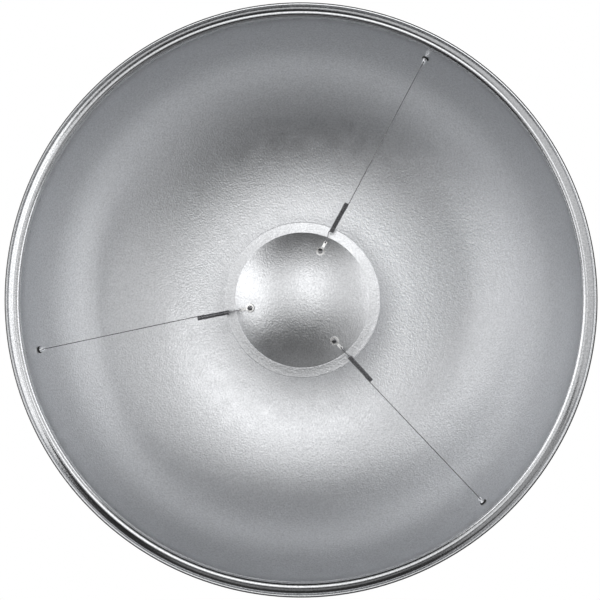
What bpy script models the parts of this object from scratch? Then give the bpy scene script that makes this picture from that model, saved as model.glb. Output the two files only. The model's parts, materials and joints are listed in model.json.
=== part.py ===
"""Studio flash reflector (beauty dish) with a domed deflector hung on three sprung wires.

Metres, +Z up. The dish's axis is the Y axis: the bowl opens toward -Y and the flash head sits at +Y.
The origin is the centre of the bayonet ring's rear seating face.
Run with: blender --background --python part.py
"""

import math

import bmesh
import bpy
from mathutils import Matrix, Vector

MM = 0.001
GAP = 0.3 * MM  # clearance between pieces that touch on the real object

# Bowl: one spun sheet. Depths are measured back from the rim's front plane.
RIM_RADIUS = 279.4 * MM
OVERALL_DEPTH = 178.0 * MM  # rim plane to the seating face
BOWL_DEPTH = 150.0 * MM
FLOOR_RADIUS = 90.0 * MM  # the floor is flat out to here
WALL_RADIUS = 265.3 * MM
WALL_EXPONENT = 2.0  # superellipse that joins the floor to the wall
WALL_TOP_DEPTH = 6.0 * MM  # the wall gives way to the lip here
SHEET = 1.2 * MM
FLOOR_BORE = 52.0 * MM
DISH_STEPS = 56
WALL_STEPS = (8, 3)  # from the floor to the posts, and on to the lip

# Rim lip: a round bead, a groove, a band that falls away outward, a rolled edge and a leg turned back.
BEAD_RADIUS = 4.8 * MM
BEAD_CENTRE = (270.0 * MM, 4.8 * MM)  # radius, depth
BEAD_END_TURN = 118.0  # degrees of bead before the groove
BEAD_STEPS = 5
GROOVE = ((272.55 * MM, 1.0 * MM), (272.95 * MM, 1.05 * MM))
BAND = ((273.4 * MM, 0.7 * MM), (277.0 * MM, 2.4 * MM))
ROLLED_EDGE = (
    (277.6 * MM, 1.35 * MM), (278.2 * MM, 1.0 * MM), (278.9 * MM, 1.25 * MM), (279.4 * MM, 2.2 * MM),
)
TURNED_LEG = 7.5 * MM
LIP_BACK = (4.0 * MM, 3.0 * MM)  # depth of the lip's back by the leg and behind the groove
BEAD_BACK_STEPS = 3

# Deflector: one spun sheet, a spherical dome with a shallow brim.
DOME_RADIUS = 64.5 * MM
DOME_RISE = 18.5 * MM
BRIM_RADIUS = 74.5 * MM
BRIM_DROP = 1.0 * MM
DOME_STEPS = 6
DEFLECTOR_STEPS = 40
CREASE_WIDTH = 0.6 * MM

# Suspension: lugs on the dome, anchor posts in the wall, one sprung wire between each pair.
LUG_CIRCLE = 49.6 * MM
LUG_ANGLES = (68.8, 188.8, 308.8)
ANCHOR_ANGLES = (62.8, 190.7, 312.0)
ANCHOR_DEPTH = 42.7 * MM
POST_REACH = 5.4 * MM  # wall to the centre of the cross hole
WIRE_RADIUS = 0.4 * MM
WIRE_SIDES = 6
COIL_START = 11.4 * MM  # from the lug's hole
COIL_LENGTH = 31.0 * MM
COIL_OUTER = 2.25 * MM
COIL_INNER = 1.45 * MM
INNER_LEG_TURNS = (180.0, 90.0, 90.0)  # round the coil from the outer leg
LEG_BEND = 0.5 * MM  # a leg straightens along the coil this far before it
POST_HOOK = (2.9 * MM, 1.8 * MM, 3.9 * MM)  # reach past the hole, half width, start of the leg
LUG_HOOK = (2.6 * MM, 1.1 * MM, 3.9 * MM)
HOOK_BLEND = 7.5 * MM  # from the post's hole to where the leg is straight
# A hook's line as shares of its reach and its half width; it passes through the hole at (0, 0).
HOOK_LINE = (
    (0.92, 0.55), (0.62, 1.0), (0.25, 1.0), (0.05, 0.8), (0.0, 0.45), (0.0, -0.45), (0.05, -0.8),
    (0.25, -1.0), (0.66, -1.0), (1.0, -0.45),
)

# Lug: a flat ring with a narrow tail that is bent up into the wires' plane.
LUG_SHEET = 0.6 * MM
LUG_RING = 4.4 * MM
LUG_RING_STEPS = 24
LUG_ROOT = 2.6 * MM  # the tail's strip starts inside the ring, this far from its centre
LUG_TAIL_WIDTH = 2.7 * MM
LUG_BEND = 4.8 * MM  # ring centre to the bend
LUG_TAIL = 5.1 * MM  # bend to the tail's hole
LUG_END = 1.7 * MM
LUG_END_STEPS = 14
LUG_HOLE = 0.9 * MM
LUG_DRILL = 1.0 * MM  # how far a bore's cutter runs past the lug's middle plane

# Anchor post, along its own axis from the wall inward.
POST_SEAT = 1.2 * MM
POST_FLANGE = (2.5 * MM, 0.8 * MM)
POST_SHANK = 1.9 * MM
POST_TIP = 1.6 * MM
POST_STEM = (1.45 * MM, 6.8 * MM)
POST_HOLE = 0.75 * MM
POST_NOSE = ((0.55, 0.0), (0.88, 0.5 * MM), (1.0, 1.2 * MM))  # share of shank, below the tip
POST_FLAT = 1.1 * MM  # half the thickness between the flats
POST_FLAT_START = 1.6 * MM  # below the cross hole
POST_CUTTER = (1.5 * MM, 3.0 * MM, 6.0 * MM)  # half thickness, half width and height

# Mount: clamp ring inside the floor, collar behind it, bayonet ring with three lugs.
CLAMP_RING = (51.0 * MM, 68.0 * MM, 1.5 * MM)  # inner radius, outer radius, thickness
CLAMP_CHAMFER = 0.5 * MM
COLLAR_OUTER = 70.0 * MM
COLLAR_WEB = 3.0 * MM
COLLAR_FRONT_BORE = 52.0 * MM
COLLAR_REAR_BORE = 54.0 * MM
COLLAR_REAR_FLANGE = 3.6 * MM
SEAT_THICKNESS = 3.0 * MM
THROAT_RADIUS = 49.0 * MM
SPIGOT_RADIUS = 53.0 * MM
SPIGOT_LENGTH = 9.0 * MM
BAYONET_LUG_RADIUS = 58.0 * MM
BAYONET_LUG_THICKNESS = 2.6 * MM
BAYONET_LUG_SETBACK = 0.4 * MM  # from the spigot's end
BAYONET_LUG_ANGLE = 26.0
BAYONET_LUG_STEPS = 5
BAYONET_LUG_CENTRES = (90.0, 210.0, 330.0)
RING_STEPS = 40
FRONT_SCREW_CIRCLE = 60.0 * MM
FRONT_SCREW_ANGLES = (0.0, 90.0, 180.0, 270.0)
REAR_SCREW_CIRCLE = 63.5 * MM
REAR_SCREW_ANGLES = (45.0, 135.0, 225.0, 315.0)

# Fasteners: thread radius, head or washer radius, head height, nut radius over corners, nut height.
M3 = {"thread": 1.45 * MM, "head": 2.5 * MM, "head_height": 1.6 * MM, "washer": 3.5 * MM,
      "washer_height": 0.5 * MM, "nut": 3.1 * MM, "nut_height": 2.4 * MM}
M4 = {"thread": 1.95 * MM, "head": 3.8 * MM, "head_height": 2.4 * MM, "nut": 4.0 * MM,
      "nut_height": 3.2 * MM, "sunk": 2.2 * MM}
PAN_HEAD = ((0.5, 1.0), (0.88, 0.72), (1.0, 0.35))  # shares of the head's radius and height
THREAD_SHOW = 0.7 * MM  # thread past a nut
SUNK_DEPTH = 0.2 * MM  # a countersunk head's face below the seating face
FASTENER_STEPS = 10
NUT_STEPS = 6
BORE_STEPS = 10
DRILL_PAST = 2.0 * MM  # how far a hole's cutter runs past the sheet
BORE_TURN = Matrix.Rotation(math.radians(7), 4, "Z")  # keeps a bore's facets off ring edges

RIM_Y = -OVERALL_DEPTH
FLOOR_Y = RIM_Y + BOWL_DEPTH
BACK = Vector((0, 1, 0))
LATHE_TO_Y = Matrix.Rotation(-math.pi / 2, 4, "X")  # a lathe's local +Z becomes world +Y


def clear_scene():
    for obj in list(bpy.data.objects):
        bpy.data.objects.remove(obj, do_unlink=True)


def material(name, colour, roughness, metallic):
    mat = bpy.data.materials.new(name)
    mat.use_nodes = True
    shader = mat.node_tree.nodes["Principled BSDF"]
    shader.inputs["Base Color"].default_value = (*colour, 1.0)
    shader.inputs["Roughness"].default_value = roughness
    shader.inputs["Metallic"].default_value = metallic
    return mat


def finished(name, bm, mat, matrix):
    """Turns a bmesh into a named object with outward faces, smooth where it is round."""
    bmesh.ops.recalc_face_normals(bm, faces=bm.faces)
    mesh = bpy.data.meshes.new(name)
    bm.to_mesh(mesh)
    bm.free()
    mesh.shade_smooth()
    mesh.set_sharp_from_angle(angle=math.radians(35))
    obj = bpy.data.objects.new(name, mesh)
    obj.matrix_world = matrix
    if mat:
        mesh.materials.append(mat)
    bpy.context.scene.collection.objects.link(obj)
    return obj


def lathe(profile, steps, closed):
    """A profile of (radius, height) points turned about the local Z axis."""
    bm = bmesh.new()
    verts = [bm.verts.new((radius, 0, height)) for radius, height in profile]
    edges = [bm.edges.new(pair) for pair in zip(verts, verts[1:])]
    if closed:
        edges.append(bm.edges.new((verts[-1], verts[0])))
    bmesh.ops.spin(
        bm, geom=verts + edges, cent=(0, 0, 0), axis=(0, 0, 1), angle=2 * math.pi,
        steps=steps, use_merge=True,
    )
    bmesh.ops.remove_doubles(bm, verts=bm.verts, dist=0.001 * MM)
    return bm


def rod_profile(*steps):
    """Closes (radius, height) steps onto the axis at both ends, for a solid turned piece."""
    return [(0, steps[0][1]), *steps, (0, steps[-1][1])]


def prism(outline, depth):
    """A flat outline in the local XY plane, extruded along +Z."""
    bm = bmesh.new()
    face = bm.faces.new([bm.verts.new((x, y, 0)) for x, y in outline])
    extruded = bmesh.ops.extrude_face_region(bm, geom=[face])
    top = [item for item in extruded["geom"] if isinstance(item, bmesh.types.BMVert)]
    bmesh.ops.translate(bm, verts=top, vec=(0, 0, depth))
    return bm


def polygon(radius, sides, turn=0.0):
    steps = [turn + 2 * math.pi * i / sides for i in range(sides)]
    return [(radius * math.cos(a), radius * math.sin(a)) for a in steps]


def axes_at(origin, along, across):
    """A placement whose local Z runs along one direction and local X as near across as it can."""
    z = along.normalized()
    x = (across - z * across.dot(z)).normalized()
    placement = Matrix((x, z.cross(x), z)).transposed().to_4x4()
    placement.translation = origin
    return placement


def tube(name, points, radius, sides):
    """A round wire through the points, with filled ends, as a mesh object."""
    curve = bpy.data.curves.new(name, "CURVE")
    curve.dimensions = "3D"
    spline = curve.splines.new("POLY")
    spline.points.add(len(points) - 1)
    for point, place in zip(spline.points, points):
        point.co = (*place, 1.0)
    curve.bevel_depth = radius
    curve.bevel_resolution = (sides - 4) // 2
    curve.use_fill_caps = True
    swept = bpy.data.objects.new(name, curve)
    bm = bmesh.new()
    bm.from_mesh(bpy.data.meshes.new_from_object(swept))
    bpy.data.objects.remove(swept)
    bmesh.ops.remove_doubles(bm, verts=bm.verts, dist=0.001 * MM)
    return finished(name, bm, None, Matrix.Identity(4))


def as_tool(obj):
    obj.hide_render = True
    obj.display_type = "WIRE"
    return obj


def combine(obj, tools, operation):
    """Cuts the tools out of the object, or joins them to it."""
    for tool in tools:
        modifier = obj.modifiers.new(tool.name, "BOOLEAN")
        modifier.operation = operation
        modifier.object = as_tool(tool)
    return obj


def drill(name, placement, radius, low, high):
    bm = lathe(rod_profile((radius, high), (radius, low)), BORE_STEPS, closed=False)
    return finished(name, bm, None, placement @ BORE_TURN)


def radial(angle):
    turn = math.radians(angle)
    return Vector((math.cos(turn), 0, math.sin(turn)))


# Bowl ---------------------------------------------------------------------------------------


def wall_point(turn):
    """Radius and depth on the bowl's face. turn is 0 at the rim and 90 degrees at the floor."""
    power = 2 / WALL_EXPONENT
    radius = FLOOR_RADIUS + (WALL_RADIUS - FLOOR_RADIUS) * math.cos(turn) ** power
    return radius, BOWL_DEPTH * math.sin(turn) ** power


def wall_turn(depth):
    return math.asin((depth / BOWL_DEPTH) ** (WALL_EXPONENT / 2))


def bowl_line():
    """The bowl's face from its bore out to the lip, as (radius, depth)."""
    stops = [math.pi / 2, wall_turn(ANCHOR_DEPTH), wall_turn(WALL_TOP_DEPTH)]
    turns = []
    for start, end, steps in zip(stops, stops[1:], WALL_STEPS):
        turns += [start + (end - start) * i / steps for i in range(1, steps + 1)]
    return [(FLOOR_BORE, BOWL_DEPTH), (FLOOR_RADIUS, BOWL_DEPTH)] + [wall_point(t) for t in turns]


def bead_arc(radius, start, end, steps):
    """Points round the bead's centre. Degrees run from the inner side, over the front, outward."""
    turns = [math.radians(180 - start - (end - start) * i / steps) for i in range(steps + 1)]
    return [
        (BEAD_CENTRE[0] + radius * math.cos(turn), BEAD_CENTRE[1] - radius * math.sin(turn))
        for turn in turns
    ]


def lip_line():
    """The lip's face from the wall over the bead and the band to the end of the turned leg."""
    bead = bead_arc(BEAD_RADIUS, 0, BEAD_END_TURN, BEAD_STEPS)
    return [*bead, *GROOVE, *BAND, *ROLLED_EDGE, (RIM_RADIUS, TURNED_LEG)]


def lip_back():
    """The lip's back from the end of the leg to the wall."""
    leg = RIM_RADIUS - SHEET
    bead = bead_arc(BEAD_RADIUS - SHEET, BEAD_END_TURN, 0, BEAD_BACK_STEPS)
    return [(leg, TURNED_LEG), (leg, LIP_BACK[0]), (BAND[0][0], LIP_BACK[1]), *bead]


def offset(line, distance):
    """The line moved to the left of its own direction."""
    moved = []
    for i, (x, y) in enumerate(line):
        before = Vector(line[max(i - 1, 0)])
        after = Vector(line[min(i + 1, len(line) - 1)])
        here = Vector((x, y))
        legs = [leg.normalized() for leg in (here - before, after - here) if leg.length]
        along = sum(legs, Vector((0, 0))).normalized()
        stretch = distance / max(along.dot(legs[0]), 0.5)
        moved.append((x - along.y * stretch, y + along.x * stretch))
    return moved


def dish_shell(mat, holes):
    bowl = bowl_line()
    outline = bowl + lip_line() + lip_back() + offset(bowl, SHEET)[::-1]
    bm = lathe([(radius, RIM_Y + depth) for radius, depth in outline], DISH_STEPS, closed=True)
    return combine(finished("dish_shell", bm, mat, LATHE_TO_Y), holes, "DIFFERENCE")


# Suspension geometry ------------------------------------------------------------------------


def post_axis(angle):
    """The wall's inward normal where a post stands."""
    turn = wall_turn(ANCHOR_DEPTH)
    step = 0.001
    near, far = wall_point(turn - step), wall_point(turn + step)
    lean = math.atan2(near[0] - far[0], far[1] - near[1])
    return -radial(angle) * math.cos(lean) - BACK * math.sin(lean)


def post_base(angle):
    radius, depth = wall_point(wall_turn(ANCHOR_DEPTH))
    return radial(angle) * radius + BACK * (RIM_Y + depth)


def anchor_hole(angle):
    return post_base(angle) + post_axis(angle) * POST_REACH


DOME_SPHERE = (DOME_RADIUS**2 + DOME_RISE**2) / (2 * DOME_RISE)
LUG_LEAN = math.asin(LUG_CIRCLE / DOME_SPHERE)
WIRE_Y = anchor_hole(ANCHOR_ANGLES[0]).y


def dome_height(radius):
    """Height of the dome's face in front of its crease."""
    return math.sqrt(DOME_SPHERE**2 - radius**2) - (DOME_SPHERE - DOME_RISE)


# The crease sits where the lugs' bends fall in the wires' plane.
LUG_LIFT = GAP + LUG_SHEET / 2
CREASE_Y = (
    WIRE_Y + dome_height(LUG_CIRCLE) + LUG_LIFT * math.cos(LUG_LEAN) - LUG_BEND * math.sin(LUG_LEAN)
)


def lug_normal(angle):
    return radial(angle) * math.sin(LUG_LEAN) - BACK * math.cos(LUG_LEAN)


def lug_seat(angle):
    """The point on the dome under a lug's centre."""
    return radial(angle) * LUG_CIRCLE + BACK * (CREASE_Y - dome_height(LUG_CIRCLE))


def suspension(index):
    """Places shared by a lug, its wire and its post."""
    lug_angle, anchor_angle = LUG_ANGLES[index], ANCHOR_ANGLES[index]
    normal, anchor = lug_normal(lug_angle), anchor_hole(anchor_angle)
    centre = lug_seat(lug_angle) + normal * LUG_LIFT
    toward = (anchor - centre).normalized()
    slope = (toward - normal * toward.dot(normal)).normalized()
    bend = centre + slope * LUG_BEND
    tail = (anchor - bend).normalized()
    return {
        "normal": normal, "centre": centre, "slope": slope, "bend": bend, "tail": tail,
        "hole": bend + tail * LUG_TAIL, "anchor": anchor, "post": post_axis(anchor_angle),
    }


# Deflector ----------------------------------------------------------------------------------


def deflector(mat, holes):
    dome = []
    for i in range(DOME_STEPS + 1):
        radius = DOME_RADIUS * i / DOME_STEPS
        dome.append((radius, CREASE_Y - dome_height(radius)))
    brim = [(DOME_RADIUS + CREASE_WIDTH, CREASE_Y), (BRIM_RADIUS, CREASE_Y + BRIM_DROP)]
    face = dome + brim
    sheet = face + offset(face, SHEET)[::-1]
    sheet[-1] = (0, CREASE_Y - DOME_RISE + SHEET)
    bm = lathe(sheet, DEFLECTOR_STEPS, closed=False)
    return combine(finished("deflector", bm, mat, LATHE_TO_Y), holes, "DIFFERENCE")


def lug(index, places, mat):
    """Solder lug: ring flat on the dome, tail bent into the wires' plane, a hole near its end."""
    name = f"lug_{index + 1}"
    half = LUG_SHEET / 2
    across = places["normal"].cross(places["slope"])
    ring_at = axes_at(places["centre"], places["normal"], places["slope"])
    ring = finished(
        name, prism(polygon(LUG_RING, LUG_RING_STEPS), LUG_SHEET), mat,
        ring_at @ Matrix.Translation((0, 0, -half)),
    )
    front = (-BACK - places["tail"] * places["tail"].dot(-BACK)).normalized()
    corner = (places["normal"] + front).normalized() * half
    start = places["centre"] + places["slope"] * LUG_ROOT
    side = [
        start - places["normal"] * half, places["bend"] - corner, places["hole"] - front * half,
        places["hole"] + front * half, places["bend"] + corner, start + places["normal"] * half,
    ]
    bm = bmesh.new()
    face = bm.faces.new([bm.verts.new(p - across * LUG_TAIL_WIDTH / 2) for p in side])
    extruded = bmesh.ops.extrude_face_region(bm, geom=[face])
    moved = [item for item in extruded["geom"] if isinstance(item, bmesh.types.BMVert)]
    bmesh.ops.translate(bm, verts=moved, vec=across * LUG_TAIL_WIDTH)
    tail = finished(name + "_tail", bm, None, Matrix.Identity(4))
    end_at = axes_at(places["hole"], front, places["tail"])
    end = finished(
        name + "_end", prism(polygon(LUG_END, LUG_END_STEPS), LUG_SHEET), None,
        end_at @ Matrix.Translation((0, 0, -half)),
    )
    combine(ring, [tail, end], "UNION")
    bores = [
        drill(name + "_screw_bore", ring_at, M3["thread"] + GAP, -LUG_DRILL, LUG_DRILL),
        drill(name + "_wire_bore", end_at, LUG_HOLE, -LUG_DRILL, LUG_DRILL),
    ]
    return combine(ring, bores, "DIFFERENCE")


def hook(hole, along, across, size):
    """Centre line of a hook through a hole: out past the edge, round it, and back to the leg."""
    reach, half_width, leave = size
    outline = [(reach * u, half_width * v) for u, v in HOOK_LINE] + [(leave, 0)]
    return [hole + along * u + across * v for u, v in outline]


def spring_wire(index, places, mat):
    """One length of music wire: hook, long leg, close-wound coil, short leg, hook."""
    name = f"spring_wire_{index + 1}"
    line = (places["anchor"] - places["hole"]).normalized()
    side = BACK.cross(line).normalized()
    coil_at = axes_at(places["hole"] + line * COIL_START, line, side)
    ring = [
        (COIL_OUTER, COIL_LENGTH), (COIL_OUTER, 0), (COIL_INNER, 0), (COIL_INNER, COIL_LENGTH),
    ]
    coil = finished(name, lathe(ring, FASTENER_STEPS, closed=True), mat, coil_at)
    mean = (COIL_OUTER + COIL_INNER) / 2

    def on_coil(turn, height):
        angle = math.radians(turn)
        return coil_at @ Vector((mean * math.cos(angle), mean * math.sin(angle), height))

    post_across = side.cross(places["post"]).normalized()
    outer = hook(places["anchor"], places["post"], post_across, POST_HOOK)
    outer += [places["anchor"] - line * HOOK_BLEND]
    outer += [on_coil(0, COIL_LENGTH + LEG_BEND), on_coil(0, COIL_LENGTH - LEG_BEND * 2)]
    turn = INNER_LEG_TURNS[index]
    inner = hook(places["hole"], line, BACK, LUG_HOOK)
    inner += [on_coil(turn, -LEG_BEND), on_coil(turn, LEG_BEND * 2)]
    legs = [
        tube(name + "_outer_leg", outer, WIRE_RADIUS, WIRE_SIDES),
        tube(name + "_inner_leg", inner, WIRE_RADIUS, WIRE_SIDES),
    ]
    return combine(coil, legs, "UNION")


def anchor_post(index, places, mat):
    """Turned stud: stem through the wall, flange, shank with a flattened, cross-drilled tip."""
    name = f"anchor_post_{index + 1}"
    at = axes_at(
        places["anchor"] - places["post"] * POST_REACH, places["post"],
        places["post"].cross(places["tail"].cross(BACK)),
    )
    tip = POST_REACH + POST_TIP
    flange_radius, flange_thickness = POST_FLANGE
    stem_radius, stem_length = POST_STEM
    profile = rod_profile(
        *((POST_SHANK * share, tip - below) for share, below in POST_NOSE),
        (POST_SHANK, POST_SEAT + flange_thickness), (flange_radius, POST_SEAT + flange_thickness),
        (flange_radius, POST_SEAT), (stem_radius, POST_SEAT), (stem_radius, -stem_length),
    )
    post = finished(name, lathe(profile, FASTENER_STEPS, closed=False), mat, at)
    tools = [drill(
        name + "_cross_bore", at @ Matrix.Translation((0, 0, POST_REACH))
        @ Matrix.Rotation(math.pi / 2, 4, "Y"), POST_HOLE, -POST_FLANGE[0], POST_FLANGE[0],
    )]
    half, wide, high = POST_CUTTER
    for sign in (-1, 1):
        block = prism([(-half, -wide), (half, -wide), (half, wide), (-half, wide)], high)
        shift = Matrix.Translation((sign * (POST_FLAT + half), 0, POST_REACH - POST_FLAT_START))
        tools.append(finished(f"{name}_flat_{sign + 1}", block, None, at @ shift))
    return combine(post, tools, "DIFFERENCE")


# Fasteners ----------------------------------------------------------------------------------


def pan_screw(name, at, size, length, mat):
    """Pan-head screw. Its head stands on local Z = 0 and its thread runs down local -Z."""
    head, height = size["head"], size["head_height"]
    profile = rod_profile(
        *((head * across, height * up) for across, up in PAN_HEAD),
        (head, 0), (size["thread"], 0), (size["thread"], -length),
    )
    return finished(name, lathe(profile, FASTENER_STEPS, closed=False), mat, at)


def sunk_profile(grow, length):
    """Countersunk screw profile, head face on Z = 0, grown by a clearance for its hole."""
    return rod_profile(
        (M4["head"] + grow, grow), (M4["head"] + grow, 0), (M4["thread"] + grow, -M4["sunk"]),
        (M4["thread"] + grow, -length),
    )


def ring_part(name, at, outline, bore, height, mat):
    """A washer or a nut: an outline with a round bore, standing on local Z = 0."""
    bm = bmesh.new()
    sides = [bm.verts.new((x, y, 0)) for x, y in outline]
    hole = [bm.verts.new((x, y, 0)) for x, y in polygon(bore, len(outline))]
    for i in range(len(outline)):
        j = (i + 1) % len(outline)
        bm.faces.new((sides[i], sides[j], hole[j], hole[i]))
    extruded = bmesh.ops.extrude_face_region(bm, geom=bm.faces[:])
    top = [item for item in extruded["geom"] if isinstance(item, bmesh.types.BMVert)]
    bmesh.ops.translate(bm, verts=top, vec=(0, 0, height))
    return finished(name, bm, mat, at)


def nut(name, at, size, mat):
    """A hexagon nut. Its bore is six-sided too, wide enough for its flats to clear the thread."""
    bore = (size["thread"] + GAP) / math.cos(math.pi / NUT_STEPS)
    return ring_part(name, at, polygon(size["nut"], NUT_STEPS), bore, size["nut_height"], mat)


# Mount --------------------------------------------------------------------------------------

CLAMP_FRONT_Y = FLOOR_Y - GAP - CLAMP_RING[2]
COLLAR_FRONT_Y = FLOOR_Y + SHEET + GAP
COLLAR_REAR_Y = -SEAT_THICKNESS - GAP


def clamp_ring(mat, holes):
    inner, outer, thick = CLAMP_RING
    low = CLAMP_FRONT_Y
    profile = [
        (outer, low + thick), (outer, low + CLAMP_CHAMFER), (outer - CLAMP_CHAMFER, low),
        (inner, low), (inner, low + thick),
    ]
    bm = lathe(profile, RING_STEPS, closed=True)
    return combine(finished("throat_ring", bm, mat, LATHE_TO_Y), holes, "DIFFERENCE")


def collar(mat, holes):
    """A channel-section ring, open toward the axis."""
    web = COLLAR_OUTER - COLLAR_WEB
    front_back = COLLAR_FRONT_Y + COLLAR_WEB
    rear_front = COLLAR_REAR_Y - COLLAR_REAR_FLANGE
    profile = [
        (COLLAR_OUTER, COLLAR_REAR_Y), (COLLAR_OUTER, COLLAR_FRONT_Y),
        (COLLAR_FRONT_BORE, COLLAR_FRONT_Y), (COLLAR_FRONT_BORE, front_back), (web, front_back),
        (web, rear_front), (COLLAR_REAR_BORE, rear_front), (COLLAR_REAR_BORE, COLLAR_REAR_Y),
    ]
    bm = lathe(profile, RING_STEPS, closed=True)
    return combine(finished("mount_collar", bm, mat, LATHE_TO_Y), holes, "DIFFERENCE")


def bayonet_lug(angle):
    """One bayonet lug, a block on an arc that reaches out from the spigot's rear end."""
    half = BAYONET_LUG_ANGLE / 2
    turns = [
        math.radians(angle - half + BAYONET_LUG_ANGLE * i / BAYONET_LUG_STEPS)
        for i in range(BAYONET_LUG_STEPS + 1)
    ]
    root = (THROAT_RADIUS + SPIGOT_RADIUS) / 2
    outline = [(BAYONET_LUG_RADIUS * math.cos(t), -BAYONET_LUG_RADIUS * math.sin(t)) for t in turns]
    outline += [(root * math.cos(t), -root * math.sin(t)) for t in reversed(turns)]
    low = SPIGOT_LENGTH - BAYONET_LUG_SETBACK - BAYONET_LUG_THICKNESS
    return finished(
        f"bayonet_lug_{angle:.0f}", prism(outline, BAYONET_LUG_THICKNESS), None,
        LATHE_TO_Y @ Matrix.Translation((0, 0, low)),
    )


def bayonet_ring(mat, holes):
    """Flat seating flange, a spigot through it, and three lugs round the spigot's end."""
    profile = [
        (COLLAR_OUTER, 0), (COLLAR_OUTER, -SEAT_THICKNESS), (THROAT_RADIUS, -SEAT_THICKNESS),
        (THROAT_RADIUS, SPIGOT_LENGTH), (SPIGOT_RADIUS, SPIGOT_LENGTH), (SPIGOT_RADIUS, 0),
    ]
    bm = lathe(profile, RING_STEPS, closed=True)
    ring = finished("bayonet_ring", bm, mat, LATHE_TO_Y)
    combine(ring, [bayonet_lug(angle) for angle in BAYONET_LUG_CENTRES], "UNION")
    return combine(ring, holes, "DIFFERENCE")


# Assembly -----------------------------------------------------------------------------------


def joint_empty(name, place, members):
    """Parents a moving body's pieces to an empty on its joint's axis, leaving them in place."""
    empty = bpy.data.objects.new(name, None)
    empty.location = place
    bpy.context.scene.collection.objects.link(empty)
    for obj in members:
        world = obj.matrix_world.copy()
        obj.parent = empty
        obj.matrix_parent_inverse = Matrix.Translation(place).inverted()
        obj.matrix_basis = world


def build_mount(zinc, black, silver):
    """Clamp ring, collar and bayonet ring with the screws that hold them to the bowl."""
    front_bores, rear_cutters = [], []
    head_y = CLAMP_FRONT_Y - GAP
    nut_y = COLLAR_FRONT_Y + COLLAR_WEB + GAP
    for i, angle in enumerate(FRONT_SCREW_ANGLES):
        place = radial(angle) * FRONT_SCREW_CIRCLE
        at = axes_at(place + BACK * head_y, -BACK, radial(angle))
        length = nut_y + M4["nut_height"] + THREAD_SHOW - head_y
        pan_screw(f"throat_screw_{i + 1}", at, M4, length, zinc)
        nut_at = axes_at(place + BACK * nut_y, BACK, radial(angle))
        nut(f"throat_nut_{i + 1}", nut_at, M4, zinc)
        front_bores.append(drill(
            f"throat_bore_{i + 1}", at, M4["thread"] + GAP, -length, DRILL_PAST,
        ))
    for i, angle in enumerate(REAR_SCREW_ANGLES):
        face = radial(angle) * REAR_SCREW_CIRCLE - BACK * SUNK_DEPTH
        at = axes_at(face, BACK, radial(angle)) @ BORE_TURN
        length = SEAT_THICKNESS + COLLAR_REAR_FLANGE + THREAD_SHOW
        screw = lathe(sunk_profile(0, length), FASTENER_STEPS, closed=False)
        finished(f"bayonet_screw_{i + 1}", screw, zinc, at)
        bore = lathe(sunk_profile(GAP, length + DRILL_PAST), FASTENER_STEPS, closed=False)
        rear_cutters.append(finished(f"bayonet_bore_{i + 1}", bore, None, at))
    clamp_ring(silver, front_bores)
    collar(black, front_bores + rear_cutters)
    bayonet_ring(zinc, rear_cutters)
    return front_bores


def build_suspension(steel, zinc, silver):
    """Deflector with its lugs, the three sprung wires and their posts."""
    moving, wall_bores, dome_bores = [], [], []
    for i in range(len(LUG_ANGLES)):
        places = suspension(i)
        n = i + 1
        moving.append(lug(i, places, zinc))
        head_at = axes_at(
            places["centre"] + places["normal"] * (LUG_SHEET / 2 + GAP), places["normal"],
            places["slope"],
        )
        under = LUG_SHEET + SHEET + 3 * GAP
        length = under + M3["washer_height"] + M3["nut_height"] + GAP + THREAD_SHOW
        moving.append(pan_screw(f"lug_screw_{n}", head_at, M3, length, steel))
        dome_bores.append(drill(f"lug_bore_{n}", head_at, M3["thread"] + GAP, -length, DRILL_PAST))
        washer_at = head_at @ Matrix.Translation((0, 0, -under - M3["washer_height"]))
        moving.append(ring_part(
            f"lug_washer_{n}", washer_at, polygon(M3["washer"], FASTENER_STEPS),
            M3["thread"] + GAP, M3["washer_height"], zinc,
        ))
        nut_at = washer_at @ Matrix.Translation((0, 0, -GAP - M3["nut_height"]))
        moving.append(nut(f"lug_nut_{n}", nut_at, M3, zinc))
        wire = spring_wire(i, places, steel)
        joint_empty(f"wire_pivot_{n}", places["anchor"], [wire])
        anchor_post(i, places, zinc)
        base = places["anchor"] - places["post"] * POST_REACH
        out_at = axes_at(base - places["post"] * (SHEET + GAP), -places["post"], BACK)
        ring_part(f"anchor_washer_{n}", out_at, polygon(M3["washer"], FASTENER_STEPS),
                  M3["thread"] + GAP, M3["washer_height"], zinc)
        anchor_nut_at = out_at @ Matrix.Translation((0, 0, M3["washer_height"] + GAP))
        nut(f"anchor_nut_{n}", anchor_nut_at, M3, zinc)
        wall_bores.append(drill(
            f"wall_bore_{n}", out_at, M3["thread"] + 2 * GAP, -2 * DRILL_PAST, DRILL_PAST,
        ))
    moving.append(deflector(silver, dome_bores))
    joint_empty("deflector_slide", BACK * CREASE_Y, moving)
    return wall_bores


def build():
    clear_scene()
    silver = material("silver_satin", (0.80, 0.81, 0.82), 0.38, 1.0)
    black = material("black_powder_coat", (0.02, 0.02, 0.022), 0.5, 0.0)
    zinc = material("zinc_plate", (0.70, 0.71, 0.73), 0.3, 1.0)
    steel = material("spring_steel", (0.42, 0.42, 0.43), 0.35, 1.0)
    wall_bores = build_suspension(steel, zinc, silver)
    floor_bores = build_mount(zinc, black, silver)
    dish_shell(silver, wall_bores + floor_bores)


build()
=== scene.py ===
"""Looks of a studio beauty dish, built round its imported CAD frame.

Metres, +Z up. The dish's axis is the Y axis: the bowl opens toward -Y and the flash head sits at +Y.
Places that the frame gives (rim, deflector, studs, joints) are read from it; the rest are the
dimensions below. Every piece is modelled in the frame's own coordinates and rides on a CAD body.
"""

import json
import math

import bmesh
import bpy
from mathutils import Matrix, Vector


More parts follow.
